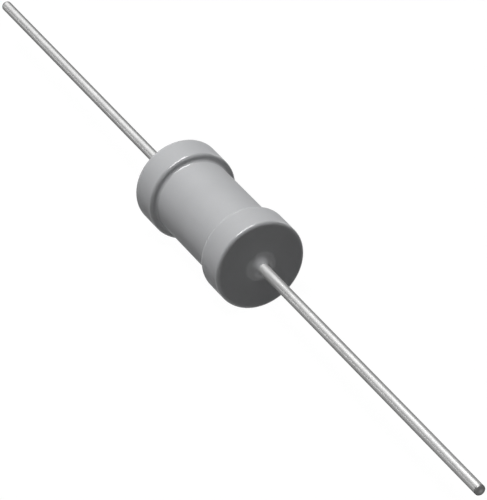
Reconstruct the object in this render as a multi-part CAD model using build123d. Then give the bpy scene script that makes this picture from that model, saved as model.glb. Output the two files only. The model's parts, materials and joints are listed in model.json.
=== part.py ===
from build123d import *
import os

# Axial wirewound power resistor, in millimetres.
# The origin is the middle of the body. X runs along the body, and the right lead leaves towards +X.

# Ceramic core
core_diameter = 4.9
core_length = 11.0
core_chamfer = 0.35

# Steel end caps, pressed on the core
cap_wall = 0.5
cap_floor = 0.5
cap_skirt = 1.8
cap_bevel = 0.4

# Flat resistance wire, one layer on the core
wire_width = 0.85
wire_thickness = 0.2
wire_pitch = 1.68

# Lacquer coat: its thickness over each piece, and its own edges
coat_over_cap_end = 0.52
coat_over_cap_side = 0.55
coat_over_wire = 0.35
coat_past_rim = 0.24
coat_end_radius = 0.27
step_bevel_share = 0.35
step_fill_share = 0.4
meniscus_diameter = 2.4
meniscus_height = 0.4

# Leads, welded to the middle of the caps
lead_diameter = 0.8
lead_reach = 30.38
lead_tip_bevel = 0.15
weld_diameter = 1.5

# Radii that follow, from the inside out
core_radius = core_diameter / 2
cap_radius = core_radius + cap_wall
winding_radius = core_radius + wire_thickness
waist_radius = winding_radius + coat_over_wire
collar_radius = cap_radius + coat_over_cap_side
meniscus_radius = meniscus_diameter / 2
lead_radius = lead_diameter / 2
weld_radius = weld_diameter / 2

# Places along X that follow, from the middle of the body to the right
cap_seat = core_length / 2
cap_face = cap_seat + cap_floor
cap_rim = cap_face - cap_skirt
collar_step = cap_rim - coat_past_rim
body_end = cap_face + coat_over_cap_end
meniscus_tip = body_end + meniscus_height
lead_tip = body_end + lead_reach

# The step between waist and collar, bevelled above and filled with lacquer in its corner
step_rise = collar_radius - waist_radius
step_bevel = step_bevel_share * step_rise
step_fill = step_fill_share * step_rise


def turned(outline):
    """Solid of revolution about X of a closed outline drawn in the XY plane."""
    return revolve(make_face(outline), Axis.X)


def opposite(part):
    """The same piece at the other end of the body."""
    return mirror(part, about=Plane.YZ)


def rod(radius, length):
    """Plain cylinder along X, about the middle of the body."""
    return Rotation(0, 90, 0) * Cylinder(radius, length)


def ceramic_core():
    """Plain rod with chamfered ends, held between the two cap floors."""
    blank = rod(core_radius, core_length)
    return chamfer(blank.edges().filter_by(GeomType.CIRCLE), core_chamfer)


def end_cap():
    """Cup pressed over the core, with a bevelled closed end and a flat rim that faces the winding."""
    outline = Polyline(
        (cap_face, 0),
        (cap_face, cap_radius - cap_bevel),
        (cap_face - cap_bevel, cap_radius),
        (cap_rim, cap_radius),
        (cap_rim, core_radius),
        (cap_seat, core_radius),
        (cap_seat, 0),
        close=True,
    )
    return turned(outline)


def resistance_wire():
    """Flat wire wound on the core from rim to rim, each end trimmed where it runs out along a rim.

    A deeper strip is swept along the helix, cut off at the rims, and then turned down to the wire's layer.
    """
    wound_length = 2 * (cap_rim + wire_width)
    strip_depth = 4 * wire_thickness
    path = Helix(wire_pitch, wound_length, winding_radius, (-wound_length / 2, 0, 0), (1, 0, 0))
    start = path @ 0
    outward = Vector(0, start.Y, start.Z)
    section = Plane(start, x_dir=outward, z_dir=path % 0) * Rectangle(strip_depth, wire_width)
    strip = sweep(section, path, is_frenet=True)
    between_rims = strip & rod(collar_radius, 2 * cap_rim)
    turned_down = between_rims & rod(winding_radius, core_length)
    return turned_down - rod(core_radius, core_length)


def lead():
    """Straight round wire with a weld foot that tapers out under the meniscus, and a bevelled cut end."""
    outline = Polyline(
        (cap_face, 0),
        (cap_face, weld_radius),
        (meniscus_tip, lead_radius),
        (lead_tip - lead_tip_bevel, lead_radius),
        (lead_tip, lead_radius - lead_tip_bevel),
        (lead_tip, 0),
        close=True,
    )
    return turned(outline)


def coat_outside():
    """Right half of the coat, still solid inside: waist, step, collar, end face and the meniscus on the lead."""
    side = FilletPolyline(
        (0, waist_radius),
        (collar_step - step_fill, waist_radius),
        (collar_step, waist_radius + step_fill),
        (collar_step, collar_radius - step_bevel),
        (collar_step + step_bevel, collar_radius),
        (body_end, collar_radius),
        (body_end, meniscus_radius),
        radius=(0, 0, 0, 0, coat_end_radius),
    )
    top = (meniscus_tip, lead_radius)
    meniscus = TangentArc((body_end, meniscus_radius), top, tangent=(0, -1))
    middle = Polyline(top, (meniscus_tip, 0), (0, 0), (0, waist_radius))
    return turned(side + meniscus + middle)


def lacquer_coat(caps, leads):
    """Coat that lies on the winding, the caps and the weld feet, and fills the corners at the rims."""
    half = coat_outside()
    core_space = rod(core_radius, core_length)
    winding_space = rod(winding_radius, 2 * cap_rim)
    return half + opposite(half) - core_space - winding_space - caps - leads


def main():
    right_cap = end_cap()
    left_cap = opposite(right_cap)
    right_lead = lead()
    left_lead = opposite(right_lead)
    parts = {
        "ceramic_core": ceramic_core(),
        "resistance_wire": resistance_wire(),
        "right_end_cap": right_cap,
        "left_end_cap": left_cap,
        "right_lead": right_lead,
        "left_lead": left_lead,
        "lacquer_coat": lacquer_coat([right_cap, left_cap], [right_lead, left_lead]),
    }
    os.makedirs("parts", exist_ok=True)
    for name, part in parts.items():
        export_step(part, f"parts/{name}.step")


main()
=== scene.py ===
import json
import math

import bmesh
import bpy
from bpy.props import FloatProperty, FloatVectorProperty, IntProperty, PointerProperty
from mathutils import Matrix, Vector


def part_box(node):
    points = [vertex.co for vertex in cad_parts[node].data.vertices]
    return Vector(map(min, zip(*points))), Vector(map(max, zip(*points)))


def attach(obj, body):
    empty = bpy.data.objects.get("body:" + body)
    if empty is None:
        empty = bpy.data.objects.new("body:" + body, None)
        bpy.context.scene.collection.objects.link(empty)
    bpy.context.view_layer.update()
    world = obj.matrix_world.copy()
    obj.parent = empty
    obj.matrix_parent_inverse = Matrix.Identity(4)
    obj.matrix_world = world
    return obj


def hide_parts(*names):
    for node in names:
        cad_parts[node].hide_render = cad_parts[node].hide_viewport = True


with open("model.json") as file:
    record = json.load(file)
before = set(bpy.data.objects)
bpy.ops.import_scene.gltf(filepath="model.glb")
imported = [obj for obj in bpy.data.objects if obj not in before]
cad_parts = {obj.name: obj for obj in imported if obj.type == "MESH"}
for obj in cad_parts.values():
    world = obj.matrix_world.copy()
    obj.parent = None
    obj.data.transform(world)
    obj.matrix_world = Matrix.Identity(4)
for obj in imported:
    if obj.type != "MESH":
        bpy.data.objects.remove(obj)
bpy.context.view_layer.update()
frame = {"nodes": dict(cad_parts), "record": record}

bl_info = {
    "name": "Axial Wirewound Resistor",
    "version": (1, 0, 0),
    "blender": (4, 5, 0),
    "location": "View3D > Sidebar > Resistor",
    "description": "Lacquer coat, tinned leads and inner finishes of an axial resistor, on its packed frame",
    "category": "Object",
}

MM = 0.001
ON_AXIS = 1e-9
CREASE = math.radians(25)
SENSOR_WIDTH = 36.0
FLOOR_REACH = 3.0

# Steps in each round of the coat, in its meniscus, along each lead and in the round of its cut end
ROUND_STEPS = 12
MENISCUS_STEPS = 16
WIRE_STEPS = 24
TIP_STEPS = 8

# A ring so far from the end of a straight stretch keeps its shading flat. TIP_MARGIN is counted in tip
# rounds, from the tip of the lead.
COAT_MARGIN = 0.03 * MM
TIP_MARGIN = 1.5

# Share of the painted shade in the middle of a lead's cut end; the round of the cut end gets all of it
CUT_END_SHADE = 0.4
CAP_BEVEL = 0.4 * MM
# How far from the coat the painted light on a lead's root reaches
ROOT_LIGHT_REACH = 4 * MM

COAT_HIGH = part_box("lacquer_coat")[1]
CAP_LOW, CAP_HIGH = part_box("right_end_cap")
WINDING_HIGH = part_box("resistance_wire")[1]
LEAD_LOW, LEAD_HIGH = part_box("right_lead")
LEAD_MOUNT = frame["record"]["mounts"][0]["dims"]


def length(name, description, default):
    """A length property in metres."""
    return FloatProperty(
        name=name,
        description=description,
        default=default,
        min=0.0,
        precision=5,
        subtype="DISTANCE",
        unit="LENGTH",
    )


def colour(name, description, default):
    """A colour property, without alpha."""
    return FloatVectorProperty(
        name=name, description=description, default=default, min=0.0, max=1.0, size=3, subtype="COLOR"
    )


def angle(name, description, degrees):
    """An angle property, whose default is given in degrees."""
    return FloatProperty(
        name=name, description=description, default=math.radians(degrees), subtype="ANGLE", unit="ROTATION"
    )


class CoatSizes(bpy.types.PropertyGroup):
    """Outside of the lacquer coat."""

    collar_diameter: length("Collar diameter", "Across the coat over each end cap", 2 * COAT_HIGH.y)
    waist_diameter: length("Waist diameter", "Across the coat over the winding", 6.0 * MM)
    tip_to_tip: length("Coat length", "From one meniscus tip to the other", 2 * COAT_HIGH.x)
    collar_length: length("Collar length", "From the end face to the step", 2.56 * MM)
    step_round: length("Step round", "Round on the upper edge of the step", 0.26 * MM)
    corner_fill: length("Corner fill", "Round of the lacquer in the lower corner of the step", 0.22 * MM)
    end_round: length("End round", "Round between the collar and the end face", 0.24 * MM)
    meniscus_diameter: length("Meniscus diameter", "Across the foot of the meniscus", 2.4 * MM)
    meniscus_height: length("Meniscus height", "How far the lacquer climbs the lead", 0.4 * MM)
    facets: IntProperty(name="Facets", description="Faces round the coat", default=192, min=24, max=512)


class LeadSizes(bpy.types.PropertyGroup):
    """The two straight leads."""

    diameter: length("Lead diameter", "Across the tinned wire", 2 * LEAD_MOUNT["r_mm"] * MM)
    weld_diameter: length("Weld diameter", "Across the weld foot on the end cap", 2 * LEAD_HIGH.y)
    tip_round: length("Tip round", "Round on the edge of the cut end", 0.17 * MM)
    facets: IntProperty(name="Facets", description="Faces round each lead", default=64, min=12, max=256)


class Finishes(bpy.types.PropertyGroup):
    """Colours of the materials."""

    lacquer: colour("Lacquer", "Satin grey coat", (0.523, 0.53, 0.543))
    tin: colour("Tin", "Tin of the leads, between root and cut end", (0.315, 0.315, 0.314))
    steel: colour("Cap steel", "Plated steel of the end caps", (0.56, 0.55, 0.53))
    ceramic: colour("Ceramic", "Unglazed core", (0.82, 0.8, 0.75))
    alloy: colour("Resistance alloy", "Flat wire of the winding", (0.42, 0.38, 0.33))


class StageLook(bpy.types.PropertyGroup):
    """Camera, floor and lights."""

    azimuth: angle("Azimuth", "Camera's turn round the part, from the front", 62.4)
    elevation: angle("Elevation", "Camera's height above the horizon", 32.39)
    distance: length("Distance", "From the camera to the body, along the line of sight", 263.5 * MM)
    aside: length("Aside", "How far the middle of the body lies left of the line of sight", 1.791 * MM)
    above: length("Above", "How far the middle of the body lies above the line of sight", 1.959 * MM)
    focal_length: FloatProperty(
        name="Focal length", description="Lens, in millimetres", default=263.4, min=10.0
    )
    floor: colour("Floor", "Pale floor and background", (1.0, 1.0, 1.0))
    ambient: FloatProperty(name="Ambient", description="Even light from all round", default=0.038, min=0.0)


# An outline is a list of (place along the axis, radius, edge). The edge is 1 on a convex round, -1 in a
# filled corner and on the meniscus, CUT_END_SHADE in the middle of a cut end, and 0 elsewhere. It is kept in
# the mesh, where the materials read it: the coat for its gloss, a lead for the painted shade on its cut end.


def arc(centre, radius, start, end, steps, edge=0.0):
    """Points of an arc, from one angle to the other in degrees."""
    turn = [math.radians(start + (end - start) * i / steps) for i in range(steps + 1)]
    return [(centre[0] + radius * math.cos(t), centre[1] + radius * math.sin(t), edge) for t in turn]


def supported(points, margin):
    """The outline with a ring near each end of every stretch over six margins, which keeps it flat."""
    found = []
    for (x, r, edge), (far_x, far_r, _) in zip(points, points[1:]):
        found.append((x, r, edge))
        run = math.hypot(far_x - x, far_r - r)
        if run > 6 * margin:
            for share in (margin / run, 1 - margin / run):
                found.append((x + (far_x - x) * share, r + (far_r - r) * share, 0.0))
    return [*found, points[-1]]


def mirrored(points):
    """The same outline at the other end of the body."""
    return [(-x, r, e) for x, r, e in reversed(points)]


def turned(name, outline, facets, closed):
    """Mesh object turned about X.

    A closed outline makes a ring with a bore, and an open one starts and ends on the axis.
    """
    mesh = bpy.data.meshes.new(name)
    bm = bmesh.new()
    edge_layer = bm.verts.layers.float.new("edge")
    rings = []
    for x, radius, edge in outline:
        if radius < ON_AXIS:
            ring = [bm.verts.new((x, 0, 0))]
        else:
            turns = [2 * math.pi * i / facets for i in range(facets)]
            ring = [bm.verts.new((x, radius * math.cos(t), radius * math.sin(t))) for t in turns]
        for vertex in ring:
            vertex[edge_layer] = edge
        rings.append(ring)
    pairs = list(zip(rings, rings[1:]))
    if closed:
        pairs.append((rings[-1], rings[0]))
    for low, high in pairs:
        for i in range(facets):
            j = (i + 1) % facets
            corners = [low[i % len(low)], low[j % len(low)], high[j % len(high)], high[i % len(high)]]
            bm.faces.new(list(dict.fromkeys(corners)))
    bmesh.ops.recalc_face_normals(bm, faces=bm.faces)
    for face in bm.faces:
        face.smooth = True
    for bend in bm.edges:
        bend.smooth = bend.calc_face_angle(0.0) < CREASE
    bm.to_mesh(mesh)
    bm.free()
    return bpy.data.objects.new(name, mesh)


def place(piece, material, slot, *nodes):
    """Links a piece, gives it its material, and lets it stand for its CAD nodes on the frame."""
    bpy.context.scene.collection.objects.link(piece)
    piece.data.materials.append(material)
    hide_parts(*nodes)
    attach(piece, "root")


def coat_outside(sizes):
    """Right half of the coat's outside, from the middle of the waist to the meniscus tip."""
    collar, waist = sizes.collar_diameter / 2, sizes.waist_diameter / 2
    tip, lead = sizes.tip_to_tip / 2, LEAD_MOUNT["r_mm"] * MM
    face = tip - sizes.meniscus_height
    step = face - sizes.collar_length
    fill, top, end = sizes.corner_fill, sizes.step_round, sizes.end_round
    foot = sizes.meniscus_diameter / 2
    climb, reach = sizes.meniscus_height, foot - lead
    hollow = (climb**2 + reach**2) / (2 * climb)
    swing = math.degrees(math.atan2(reach, hollow - climb))
    return [
        (0.0, waist, 0.0),
        *arc((step - fill, waist + fill), fill, -90, 0, ROUND_STEPS, -1.0),
        *arc((step + top, collar - top), top, 180, 90, ROUND_STEPS, 1.0),
        *arc((face - end, collar - end), end, 90, 0, ROUND_STEPS, 1.0),
        *arc((face + hollow, foot), hollow, 180, 180 + swing, MENISCUS_STEPS, -1.0),
    ]


def coat_inside():
    """Right half of the bore, from the meniscus tip to the middle: weld foot, end cap and winding."""
    return [
        (CAP_HIGH.x, LEAD_HIGH.y, 0.0),
        (CAP_HIGH.x, CAP_HIGH.y - CAP_BEVEL, 0.0),
        (CAP_HIGH.x - CAP_BEVEL, CAP_HIGH.y, 0.0),
        (CAP_LOW.x, CAP_HIGH.y, 0.0),
        (CAP_LOW.x, WINDING_HIGH.y, 0.0),
    ]


def lead_outline(sizes):
    """One lead from the cap's face to its cut end, which is rounded over its edge."""
    radius, weld, soft = sizes.diameter / 2, sizes.weld_diameter / 2, sizes.tip_round
    start, tip = COAT_HIGH.x, LEAD_HIGH.x
    run = tip - soft - start
    return [
        (LEAD_LOW.x, 0.0, 0.0),
        (LEAD_LOW.x, weld, 0.0),
        (start, radius, 0.0),
        *[(start + run * i / WIRE_STEPS, radius, 0.0) for i in range(1, WIRE_STEPS)],
        (tip - TIP_MARGIN * soft, radius, 0.0),
        *arc((tip - soft, radius - soft), soft, 90, 0, TIP_STEPS, 1.0),
        (tip, 0.0, CUT_END_SHADE),
    ]


# Materials


def add(tree, kind, inputs=(), **settings):
    """Adds a node, sets its properties and fills its inputs. A socket is linked, and a value written in."""
    made = tree.nodes.new(kind)
    for name, value in settings.items():
        setattr(made, name, value)
    for key, value in dict(inputs).items():
        if isinstance(value, bpy.types.NodeSocket):
            tree.links.new(value, made.inputs[key])
        else:
            made.inputs[key].default_value = value
    return made


def blend(tree, share, low, high, kind="MIX"):
    """Mix of two colours."""
    mixed = add(tree, "ShaderNodeMix", {0: share, 6: low, 7: high}, data_type="RGBA", blend_type=kind)
    return mixed.outputs[2]


def between(tree, share, low, high):
    """Mix of two values."""
    return add(tree, "ShaderNodeMix", {0: share, 2: low, 3: high}).outputs[0]


def worked_out(tree, operation, *values):
    """The result of one operation on values or sockets."""
    return add(tree, "ShaderNodeMath", dict(enumerate(values)), operation=operation).outputs[0]


def noise(tree, where, detail, roughness):
    """Noise from 0 to 1, with about one lump a unit."""
    inputs = {"Vector": where, "Scale": 1.0, "Detail": detail, "Roughness": roughness}
    return add(tree, "ShaderNodeTexNoise", inputs).outputs["Fac"]


def stretched(tree, value, low, high):
    """The part of a mask between low and high, spread over 0 to 1."""
    inputs = {"Value": value, "From Min": low, "From Max": high}
    return add(tree, "ShaderNodeMapRange", inputs).outputs["Result"]


def ranged(tree, value, low, high):
    """A mask from 0 to 1 spread over other values."""
    return add(tree, "ShaderNodeMapRange", {"Value": value, "To Min": low, "To Max": high}).outputs["Result"]


def start_group(name, inputs, outputs):
    """An empty node group with named sockets: (name, socket type, default) in, (name, socket type) out."""
    group = bpy.data.node_groups.new(name, "ShaderNodeTree")
    for label, kind, default in inputs:
        socket = group.interface.new_socket(name=label, in_out="INPUT", socket_type=kind)
        socket.default_value = default
    for label, kind in outputs:
        group.interface.new_socket(name=label, in_out="OUTPUT", socket_type=kind)
    return group, group.nodes.new("NodeGroupInput").outputs, group.nodes.new("NodeGroupOutput").inputs


def in_millimetres(group, per_mm):
    """The piece's own coordinates, scaled to so many units a millimetre."""
    own = group.nodes.new("ShaderNodeTexCoord").outputs["Object"]
    mm = add(group, "ShaderNodeVectorMath", {0: own, "Scale": 1 / MM}, operation="SCALE").outputs[0]
    kind = "MULTIPLY" if per_mm.type == "VECTOR" else "SCALE"
    key = 1 if per_mm.type == "VECTOR" else "Scale"
    return add(group, "ShaderNodeVectorMath", {0: mm, key: per_mm}, operation=kind).outputs[0]


def uneven_shade_group():
    """Soft clouds between two colours, as on a dipped or plated surface."""
    group, given, out = start_group(
        "Uneven Shade",
        [
            ("Deep", "NodeSocketColor", (0.4, 0.4, 0.4, 1.0)),
            ("Pale", "NodeSocketColor", (0.6, 0.6, 0.6, 1.0)),
            ("Clouds per mm", "NodeSocketFloat", 0.5),
        ],
        [("Colour", "NodeSocketColor"), ("Cloud", "NodeSocketFloat")],
    )
    where = in_millimetres(group, given["Clouds per mm"])
    cloud = stretched(group, noise(group, where, 4.0, 0.55), 0.3, 0.7)
    group.links.new(blend(group, cloud, given["Deep"], given["Pale"]), out["Colour"])
    group.links.new(cloud, out["Cloud"])
    return group


def fine_grain_group():
    """Fine pigment grain, and the shallow dimples of a coat that has flowed out."""
    group, given, out = start_group(
        "Fine Grain",
        [("Grains per mm", "NodeSocketFloat", 12.0), ("Dimples per mm", "NodeSocketFloat", 2.2)],
        [("Grain", "NodeSocketFloat"), ("Dimples", "NodeSocketFloat")],
    )
    small = in_millimetres(group, given["Grains per mm"])
    large = in_millimetres(group, given["Dimples per mm"])
    dimples = add(
        group, "ShaderNodeTexVoronoi", {"Vector": large, "Scale": 1.0, "Smoothness": 1.0}, feature="SMOOTH_F1"
    )
    group.links.new(noise(group, small, 3.0, 0.6), out["Grain"])
    group.links.new(dimples.outputs["Distance"], out["Dimples"])
    return group


def fine_lines_group():
    """Lines left by drawing, rolling or pressing, longest along the axis with the fewest lines."""
    group, given, out = start_group(
        "Fine Lines",
        [("Lines per mm", "NodeSocketVector", (0.3, 25.0, 25.0))],
        [("Lines", "NodeSocketFloat")],
    )
    where = in_millimetres(group, given["Lines per mm"])
    lines = stretched(group, noise(group, where, 2.0, 0.5), 0.25, 0.75)
    group.links.new(lines, out["Lines"])
    return group


EFFECTS = {
    "Uneven Shade": uneven_shade_group,
    "Fine Grain": fine_grain_group,
    "Fine Lines": fine_lines_group,
}


def effect(tree, name, **values):
    """Places an effect's group in a material. The group is built the first time it is used."""
    placed = add(tree, "ShaderNodeGroup", node_tree=bpy.data.node_groups.get(name) or EFFECTS[name]())
    for key, value in values.items():
        placed.inputs[key.replace("_", " ")].default_value = value
    return placed.outputs


def emptied(owner):
    """The node tree of a new material or world, with nothing in it."""
    owner.use_nodes = True
    owner.node_tree.nodes.clear()
    return owner.node_tree


def start_material(name):
    """A new material with its Principled shader, whose tree is otherwise empty."""
    material = bpy.data.materials.new(name)
    tree = emptied(material)
    shader = tree.nodes.new("ShaderNodeBsdfPrincipled")
    output = tree.nodes.new("ShaderNodeOutputMaterial")
    tree.links.new(shader.outputs["BSDF"], output.inputs["Surface"])
    return material, tree, shader


def shaded(base, factor):
    """The colour made lighter or darker, with full alpha."""
    return (*[min(1.0, c * factor) for c in base], 1.0)


def clouded(tree, base, deep, pale, per_mm):
    """Clouds between a deeper and a paler shade of a colour."""
    deep, pale = shaded(base, deep), shaded(base, pale)
    return effect(tree, "Uneven Shade", Deep=deep, Pale=pale, Clouds_per_mm=per_mm)


def bump(tree, shader, height, depth, strength):
    """Feeds the shader's normal from a height mask, whose full depth is in metres."""
    relief = add(tree, "ShaderNodeBump", {"Height": height, "Distance": depth, "Strength": strength})
    tree.links.new(relief.outputs["Normal"], shader.inputs["Normal"])


def satin_lacquer(base):
    """Opaque satin lacquer: faint clouds, pigment grain and flowed dimples.

    Its skin is glossier and smoother over the edges, the filled corners and the meniscus.
    """
    material, tree, shader = start_material("Satin Lacquer")
    shade = clouded(tree, base, deep=0.975, pale=1.02, per_mm=0.45)
    grain = effect(tree, "Fine Grain", Grains_per_mm=14.0, Dimples_per_mm=2.4)
    speck = ranged(tree, grain["Grain"], 0.94, 1.06)
    speckled = blend(tree, 1.0, shade["Colour"], speck, "MULTIPLY")
    edge = add(tree, "ShaderNodeAttribute", attribute_name="edge").outputs["Fac"]
    skin = worked_out(tree, "ABSOLUTE", edge)
    dull = ranged(tree, grain["Grain"], 0.64, 0.76)
    glossed = between(tree, skin, dull, 0.22)
    tree.links.new(speckled, shader.inputs["Base Color"])
    tree.links.new(glossed, shader.inputs["Roughness"])
    relief = worked_out(tree, "ADD", grain["Dimples"], grain["Grain"])
    flowed = between(tree, skin, relief, 0.7)
    bump(tree, shader, flowed, 0.006 * MM, 0.35)
    return material


def tinned_wire(base):
    """Tinned drawn wire: long drawing lines and uneven tin.

    Painted light makes its root paler; the root is duller too. Painted shade darkens its cut end.
    """
    material, tree, shader = start_material("Tinned Wire")
    shade = clouded(tree, base, deep=0.95, pale=1.04, per_mm=1.3)
    lines = effect(tree, "Fine Lines", Lines_per_mm=(0.2, 16.0, 16.0))
    own = tree.nodes.new("ShaderNodeTexCoord").outputs["Object"]
    along = add(tree, "ShaderNodeSeparateXYZ", {0: own}).outputs["X"]
    outward = worked_out(tree, "ABSOLUTE", along)
    reach = {"Value": outward, "From Min": COAT_HIGH.x + ROOT_LIGHT_REACH, "From Max": COAT_HIGH.x}
    near_root = add(tree, "ShaderNodeMapRange", reach, interpolation_type="SMOOTHSTEP").outputs["Result"]
    # Painted light: the wire is paler near its root, where the body's dark end face and its shade would
    # darken it
    painted_root_light = blend(tree, near_root, shade["Colour"], shaded(base, 1.45))
    edge = add(tree, "ShaderNodeAttribute", attribute_name="edge").outputs["Fac"]
    # Painted shade: the round of the cut end is darkened fully, and the middle of the end partly
    painted_tip_shade = blend(tree, edge, painted_root_light, shaded(base, 0.4))
    plated = ranged(tree, shade["Cloud"], 0.86, 0.94)
    kept = ranged(tree, near_root, 1.0, 0.25)
    tree.links.new(painted_tip_shade, shader.inputs["Base Color"])
    drawn = ranged(tree, lines["Lines"], 0.35, 0.43)
    tree.links.new(between(tree, near_root, drawn, 0.6), shader.inputs["Roughness"])
    tree.links.new(worked_out(tree, "MULTIPLY", plated, kept), shader.inputs["Metallic"])
    bump(tree, shader, lines["Lines"], 0.001 * MM, 0.1)
    # Darkens what the wire reflects at a grazing angle, along its outline
    shader.inputs["Specular Tint"].default_value = (0.1, 0.1, 0.1, 1.0)
    return material


def cap_steel(base):
    """Pressed and plated steel: draw lines, and an uneven plating."""
    material, tree, shader = start_material("Cap Steel")
    shade = clouded(tree, base, deep=0.88, pale=1.06, per_mm=0.8)
    lines = effect(tree, "Fine Lines", Lines_per_mm=(0.6, 14.0, 14.0))
    tree.links.new(shade["Colour"], shader.inputs["Base Color"])
    tree.links.new(ranged(tree, lines["Lines"], 0.28, 0.46), shader.inputs["Roughness"])
    bump(tree, shader, lines["Lines"], 0.004 * MM, 0.4)
    shader.inputs["Metallic"].default_value = 1.0
    return material


def unglazed_ceramic(base):
    """Fired ceramic: chalky, with a fine grain and faint clouds."""
    material, tree, shader = start_material("Unglazed Ceramic")
    shade = clouded(tree, base, deep=0.93, pale=1.04, per_mm=0.6)
    grain = effect(tree, "Fine Grain", Grains_per_mm=18.0)
    tree.links.new(shade["Colour"], shader.inputs["Base Color"])
    tree.links.new(ranged(tree, grain["Grain"], 0.7, 0.9), shader.inputs["Roughness"])
    bump(tree, shader, grain["Grain"], 0.01 * MM, 0.6)
    return material


def resistance_alloy(base):
    """Dull rolled alloy: fine lines round the winding, and an uneven shade."""
    material, tree, shader = start_material("Resistance Alloy")
    shade = clouded(tree, base, deep=0.8, pale=1.1, per_mm=1.0)
    lines = effect(tree, "Fine Lines", Lines_per_mm=(18.0, 0.5, 0.5))
    tree.links.new(shade["Colour"], shader.inputs["Base Color"])
    tree.links.new(ranged(tree, lines["Lines"], 0.36, 0.55), shader.inputs["Roughness"])
    bump(tree, shader, lines["Lines"], 0.003 * MM, 0.4)
    shader.inputs["Metallic"].default_value = 1.0
    return material


def refinish(material, *nodes):
    """Gives CAD nodes that stay their material."""
    for name in nodes:
        mesh = frame["nodes"][name].data
        mesh.materials.clear()
        mesh.materials.append(material)


# Stage


def seen_white(tree):
    """1 for camera, glossy and transmission rays, and 0 for the rest."""
    path = tree.nodes.new("ShaderNodeLightPath").outputs
    either = worked_out(tree, "MAXIMUM", path["Is Camera Ray"], path["Is Glossy Ray"])
    return worked_out(tree, "MAXIMUM", either, path["Is Transmission Ray"])


def paper_floor(base):
    """White seamless floor that keeps a faint shadow and throws a little light back."""
    thrown_back, shadowed, glowing = 0.16, 0.1, 0.93
    material = bpy.data.materials.new("Paper Floor")
    tree = emptied(material)
    seen = seen_white(tree)
    paper = blend(tree, seen, shaded(base, thrown_back), shaded(base, shadowed))
    matt = add(tree, "ShaderNodeBsdfDiffuse", {"Color": paper})
    level = worked_out(tree, "MULTIPLY", seen, glowing)
    glow = add(tree, "ShaderNodeEmission", {"Color": shaded(base, 1.0), "Strength": level})
    both = add(tree, "ShaderNodeAddShader", {0: matt.outputs[0], 1: glow.outputs[0]})
    output = tree.nodes.new("ShaderNodeOutputMaterial")
    tree.links.new(both.outputs[0], output.inputs["Surface"])
    return material


def lay_floor(look, low, reach):
    """Square floor at the height low, which goes out as far as reach on each side."""
    mesh = bpy.data.meshes.new("floor")
    bm = bmesh.new()
    corners = [(-reach, -reach), (reach, -reach), (reach, reach), (-reach, reach)]
    bm.faces.new([bm.verts.new((x, y, low)) for x, y in corners])
    bm.to_mesh(mesh)
    bm.free()
    floor = bpy.data.objects.new("floor", mesh)
    bpy.context.scene.collection.objects.link(floor)
    mesh.materials.append(paper_floor(look.floor))


def light_world(look):
    """Even ambient light, which the camera and reflections see in the floor's colour."""
    world = bpy.data.worlds.new("Studio")
    tree = emptied(world)
    ambient = (*[look.ambient] * 3, 1.0)
    seen = blend(tree, seen_white(tree), ambient, (*look.floor, 1.0))
    background = add(tree, "ShaderNodeBackground", {"Color": seen})
    output = tree.nodes.new("ShaderNodeOutputWorld")
    tree.links.new(background.outputs[0], output.inputs["Surface"])
    bpy.context.scene.world = world


def hang_softbox(name, direction, width, height, power, away=1.2, shadow=True, matt=True, gloss=True):
    """Rectangular soft lamp that faces the part, with its sizes in metres and its power in watts.

    It lights matt surfaces, glossy ones or both, with or without shadows.
    """
    lamp = bpy.data.lights.new(name, "AREA")
    lamp.shape = "RECTANGLE"
    lamp.size, lamp.size_y, lamp.energy = width, height, power
    lamp.use_shadow = shadow
    holder = bpy.data.objects.new(name, lamp)
    back = Vector(direction).normalized()
    holder.rotation_euler = back.to_track_quat("Z", "Y").to_euler()
    holder.location = back * away
    holder.visible_diffuse, holder.visible_glossy = matt, gloss
    bpy.context.scene.collection.objects.link(holder)


def set_camera(look):
    """Camera at the catalogue angle, its long lens level and unshifted."""
    a, e = look.azimuth, look.elevation
    right = Vector((math.cos(a), math.sin(a), 0))
    up = Vector((-math.sin(a) * math.sin(e), math.cos(a) * math.sin(e), math.cos(e)))
    back = right.cross(up)
    data = bpy.data.cameras.new("camera")
    data.lens, data.sensor_width = look.focal_length, SENSOR_WIDTH
    camera = bpy.data.objects.new("camera", data)
    turn = Matrix((right, up, back)).transposed().to_4x4()
    eye = right * look.aside - up * look.above + back * look.distance
    camera.matrix_world = Matrix.Translation(eye) @ turn
    bpy.context.scene.collection.objects.link(camera)
    bpy.context.scene.camera = camera


class RESISTOR_OT_stage(bpy.types.Operator):
    """Camera, white floor, ambient light and soft lamps"""

    bl_idname = "resistor.stage"
    bl_label = "Stage"

    def execute(self, context):
        look = context.scene.resistor_stage
        set_camera(look)
        lay_floor(look, -COAT_HIGH.y, FLOOR_REACH)
        light_world(look)
        hang_softbox("key softbox", (-0.3, -0.2, 0.94), 0.5, 0.2, 8.35, shadow=False, gloss=False)
        hang_softbox("top softbox", (0.05, -0.2, 0.98), 0.4, 0.4, 2.9)
        hang_softbox("edge strip", (-0.3, -0.13, 0.94), 1.05, 0.26, 26.0, shadow=False, matt=False)
        hang_softbox("back strip", (-0.87, 0.01, 0.49), 0.34, 0.17, 0.43, away=0.45, shadow=False, matt=False)
        hang_softbox("side strip", (-0.745, -0.665, 0.05), 0.18, 0.09, 0.8, shadow=False, matt=False)
        hang_softbox("front fill", (0.0, -0.995, 0.05), 0.4, 0.4, 0.8)
        hang_softbox("back fill", (-0.6, 0.8, 0.0), 0.4, 0.4, 1.0)
        context.scene.view_settings.view_transform = "Standard"
        return {"FINISHED"}


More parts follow.
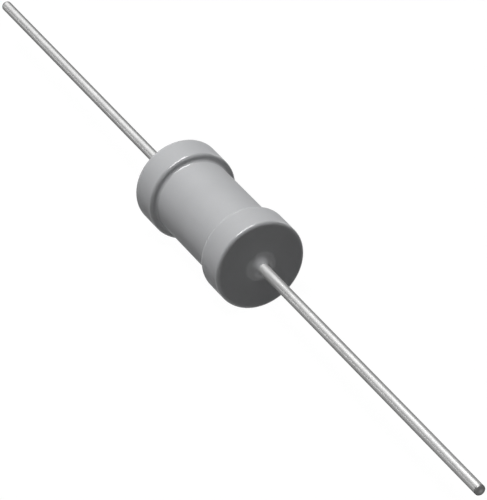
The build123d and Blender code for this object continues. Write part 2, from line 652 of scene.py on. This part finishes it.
class RESISTOR_OT_lacquer_coat(bpy.types.Operator):
    """Dog-bone lacquer coat with rounded steps and a meniscus at each lead"""

    bl_idname = "resistor.lacquer_coat"
    bl_label = "Lacquer Coat"

    def execute(self, context):
        sizes = context.scene.resistor_coat
        outside = supported(coat_outside(sizes), COAT_MARGIN)
        inside = coat_inside()
        outline = [*mirrored(outside), *outside[1:], *inside, *mirrored(inside)]
        coat = turned("dog_bone_coat", outline, sizes.facets, closed=True)
        place(coat, satin_lacquer(context.scene.resistor_finishes.lacquer), "lacquer", "lacquer_coat")
        return {"FINISHED"}


class RESISTOR_OT_tinned_leads(bpy.types.Operator):
    """Two straight tinned leads with rounded cut ends"""

    bl_idname = "resistor.tinned_leads"
    bl_label = "Tinned Leads"

    def execute(self, context):
        sizes = context.scene.resistor_leads
        finish = tinned_wire(context.scene.resistor_finishes.tin)
        right = lead_outline(sizes)
        for side, outline in (("right", right), ("left", mirrored(right))):
            lead = turned(f"{side}_tinned_lead", outline, sizes.facets, closed=False)
            place(lead, finish, "tinned_wire", f"{side}_lead")
        return {"FINISHED"}


class RESISTOR_OT_end_caps(bpy.types.Operator):
    """Plated steel finish of the two end caps"""

    bl_idname = "resistor.end_caps"
    bl_label = "End Caps"

    def execute(self, context):
        refinish(cap_steel(context.scene.resistor_finishes.steel), "left_end_cap", "right_end_cap")
        return {"FINISHED"}


class RESISTOR_OT_ceramic_core(bpy.types.Operator):
    """Unglazed finish of the ceramic core"""

    bl_idname = "resistor.ceramic_core"
    bl_label = "Ceramic Core"

    def execute(self, context):
        refinish(unglazed_ceramic(context.scene.resistor_finishes.ceramic), "ceramic_core")
        return {"FINISHED"}


class RESISTOR_OT_winding(bpy.types.Operator):
    """Dull alloy finish of the flat resistance wire"""

    bl_idname = "resistor.winding"
    bl_label = "Winding"

    def execute(self, context):
        refinish(resistance_alloy(context.scene.resistor_finishes.alloy), "resistance_wire")
        return {"FINISHED"}


GROUPS = {
    "resistor_coat": CoatSizes,
    "resistor_leads": LeadSizes,
    "resistor_finishes": Finishes,
    "resistor_stage": StageLook,
}

OPERATORS = (
    RESISTOR_OT_stage,
    RESISTOR_OT_ceramic_core,
    RESISTOR_OT_winding,
    RESISTOR_OT_end_caps,
    RESISTOR_OT_tinned_leads,
    RESISTOR_OT_lacquer_coat,
)


class RESISTOR_PT_pieces(bpy.types.Panel):
    """Sizes, colours and pieces of the resistor"""

    bl_idname = "RESISTOR_PT_pieces"
    bl_label = "Axial Resistor"
    bl_space_type = "VIEW_3D"
    bl_region_type = "UI"
    bl_category = "Resistor"

    def draw(self, context):
        for owner in GROUPS:
            group = getattr(context.scene, owner)
            box = self.layout.box()
            for name in group.__annotations__:
                box.prop(group, name)
        for operator in OPERATORS:
            self.layout.operator(operator.bl_idname)


def register():
    """Registers the classes, and gives the scene its sizes and colours."""
    for kind in (*GROUPS.values(), *OPERATORS, RESISTOR_PT_pieces):
        bpy.utils.register_class(kind)
    for name, kind in GROUPS.items():
        setattr(bpy.types.Scene, name, PointerProperty(type=kind))


def unregister():
    """Takes back what register() added."""
    for name in GROUPS:
        delattr(bpy.types.Scene, name)
    for kind in reversed((*GROUPS.values(), *OPERATORS, RESISTOR_PT_pieces)):
        bpy.utils.unregister_class(kind)


def main():
    """Builds the stage and every piece."""
    register()
    bpy.ops.resistor.stage()
    bpy.ops.resistor.ceramic_core()
    bpy.ops.resistor.winding()
    bpy.ops.resistor.end_caps()
    bpy.ops.resistor.tinned_leads()
    bpy.ops.resistor.lacquer_coat()


if __name__ == "__main__":
    main()
